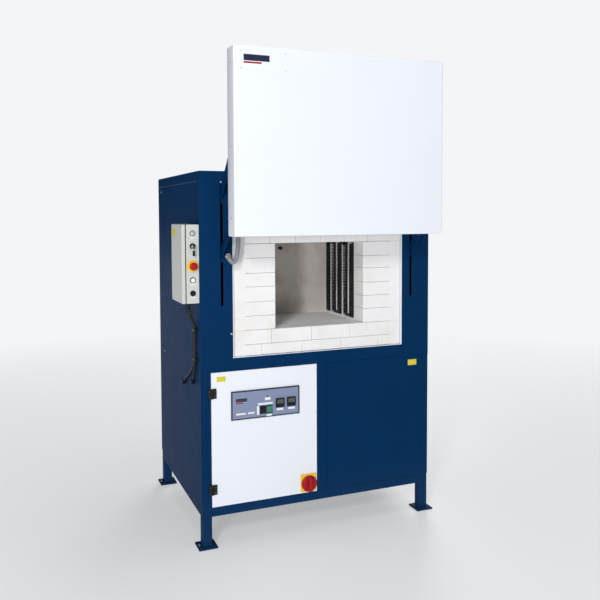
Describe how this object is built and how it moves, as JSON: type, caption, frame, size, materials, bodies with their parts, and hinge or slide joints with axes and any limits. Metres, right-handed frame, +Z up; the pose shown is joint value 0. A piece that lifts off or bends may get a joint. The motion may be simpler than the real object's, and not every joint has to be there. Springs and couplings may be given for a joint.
{
  "type": "front loading pottery kiln",
  "caption": "Front-loading electric kiln on legs, with a parallel-arm door that rises clear of the brick mouth, a hinged control door and a side push-button station.",
  "frame": {"origin": "centre of the whole object's footprint box on the floor, door raised", "axes": "+Z up, -Y towards the user in front of the door, +X to the user's right"},
  "size_m": [1.4584, 1.3426, 2.5229],
  "materials": {
    "blue_paint": "satin powder coat, fine orange-peel",
    "white_paint": "smooth white powder coat",
    "grey_paint": "light grey textured paint",
    "brick": "porous insulating firebrick, warm white with tints",
    "fibre": "dense lining board, taupe grey",
    "coil_wire": "oxidised resistance wire",
    "black_plastic": "matt moulded",
    "red_plastic": "glossy moulded",
    "green_plastic": "glossy translucent rocker",
    "white_plastic": "glossy moulded",
    "yellow_plastic": "glossy moulded",
    "fascia_print": "printed polyester front film",
    "steel": "machined steel",
    "cast_iron": "painted casting",
    "grey_hose": "ribbed grey sheath",
    "clear_lens": "moulded lens",
    "black_rubber": "matt cable sheath"
  },
  "bodies": {
    "root": {"access_panel": "blue_paint", "bottom_rail_front": "blue_paint", "bottom_rail_left": "blue_paint", "bottom_rail_rear": "blue_paint", "bottom_rail_right": "blue_paint", "brick_jamb_left": "brick", "brick_jamb_right": "brick", "brick_lintel": "brick", "brick_sill": "brick", "cable_front": "black_rubber", "cable_rear": "black_rubber", "chamber_back": "fibre", "chamber_deck": "blue_paint", "chamber_roof": "fibre", "chamber_wall_left": "fibre", "chamber_wall_right": "fibre", "conduit": "grey_hose", "element_left": "coil_wire", "element_right": "coil_wire", "front_header": "blue_paint", "front_mullion": "blue_paint", "front_sill": "blue_paint", "front_stile_left": "blue_paint", "front_stile_right": "blue_paint", "hearth": "brick", "hinge_lower": "black_plastic", "hinge_upper": "black_plastic", "leg_front_left": "blue_paint", "leg_front_right": "blue_paint", "leg_rear_left": "blue_paint", "leg_rear_right": "blue_paint", "lift_gearbox": "cast_iron", "pivot_bracket_left": "blue_paint", "pivot_bracket_right": "blue_paint", "rear_panel": "blue_paint", "roof_panel": "blue_paint", "side_panel_left": "blue_paint", "side_panel_right": "blue_paint", "station_base": "grey_paint", "station_lid": "grey_paint", "thermocouple": "steel"},
    "lift_arms": {"upper_arm_left": "blue_paint", "upper_arm_right": "blue_paint", "torque_shaft": "steel"},
    "door": {"door_casing": "white_paint", "door_insulation": "fibre", "door_plug": "fibre"},
    "lower_arm_left": {"lower_arm_left": "blue_paint", "counterweight_left": "cast_iron"},
    "lower_arm_right": {"lower_arm_right": "blue_paint", "counterweight_right": "cast_iron"},
    "control_door": {"control_door_panel": "white_paint", "control_fascia": "fascia_print"},
    "isolator": {"isolator_knob": "red_plastic"},
    "rocker_left": {"rocker_left": "black_plastic"},
    "rocker_right": {"rocker_right": "green_plastic"},
    "key": {"station_key": "steel"},
    "estop": {"estop_button": "red_plastic"},
    "raise_button": {"raise_button": "white_plastic"},
    "lower_button": {"lower_button": "black_plastic"}
  },
  "joints": [
    {"name": "door_lift", "type": "hinge", "parent": "root", "child": "lift_arms", "pos_m": [0.0336, -0.35125, 1.804], "axis": [1, 0, 0], "range_deg": [0, 123.22]},
    {"name": "door_level", "type": "hinge", "parent": "lift_arms", "child": "door", "pos_m": [0.0336, -0.61635, 2.08043], "axis": [1, 0, 0], "range_deg": [-123.23, 0]},
    {"name": "lower_arm_left_pivot", "type": "hinge", "parent": "root", "child": "lower_arm_left", "pos_m": [-0.5224, -0.35125, 1.494], "axis": [1, 0, 0], "range_deg": [0, 123.23]},
    {"name": "lower_arm_right_pivot", "type": "hinge", "parent": "root", "child": "lower_arm_right", "pos_m": [0.5896, -0.35125, 1.494], "axis": [1, 0, 0], "range_deg": [0, 123.23]},
    {"name": "control_door_hinge", "type": "hinge", "parent": "root", "child": "control_door", "pos_m": [-0.5832, -0.39126, 0.563], "axis": [0, 0, -1], "range_deg": [0, 110]},
    {"name": "isolator_turn", "type": "hinge", "parent": "control_door", "child": "isolator", "pos_m": [-0.0467, -0.40125, 0.262], "axis": [0, 1, 0], "range_deg": [0, 90]},
    {"name": "rocker_left_tilt", "type": "hinge", "parent": "control_door", "child": "rocker_left", "pos_m": [-0.3092, -0.38926, 0.696], "axis": [-1, 0, 0], "range_deg": [0, 16]},
    {"name": "rocker_right_tilt", "type": "hinge", "parent": "control_door", "child": "rocker_right", "pos_m": [-0.2732, -0.38926, 0.696], "axis": [-1, 0, 0], "range_deg": [0, 16]},
    {"name": "key_turn", "type": "hinge", "parent": "root", "child": "key", "pos_m": [-0.6738, -0.40125, 1.566], "axis": [0, 1, 0], "range_deg": [0, 90]},
    {"name": "estop_press", "type": "slide", "parent": "root", "child": "estop", "axis": [0, 1, 0], "range_m": [0, 0.004]},
    {"name": "raise_press", "type": "slide", "parent": "root", "child": "raise_button", "axis": [0, 1, 0], "range_m": [0, 0.004], "stiffness_N_per_m": 800, "springref_m": -0.004},
    {"name": "lower_press", "type": "slide", "parent": "root", "child": "lower_button", "axis": [0, 1, 0], "range_m": [0, 0.004], "stiffness_N_per_m": 800, "springref_m": -0.004}
  ],
  "couplings": [
    {"joint": "door_level", "follows": "door_lift", "ratio": -1},
    {"joint": "lower_arm_left_pivot", "follows": "door_lift", "ratio": 1},
    {"joint": "lower_arm_right_pivot", "follows": "door_lift", "ratio": 1}
  ]
}
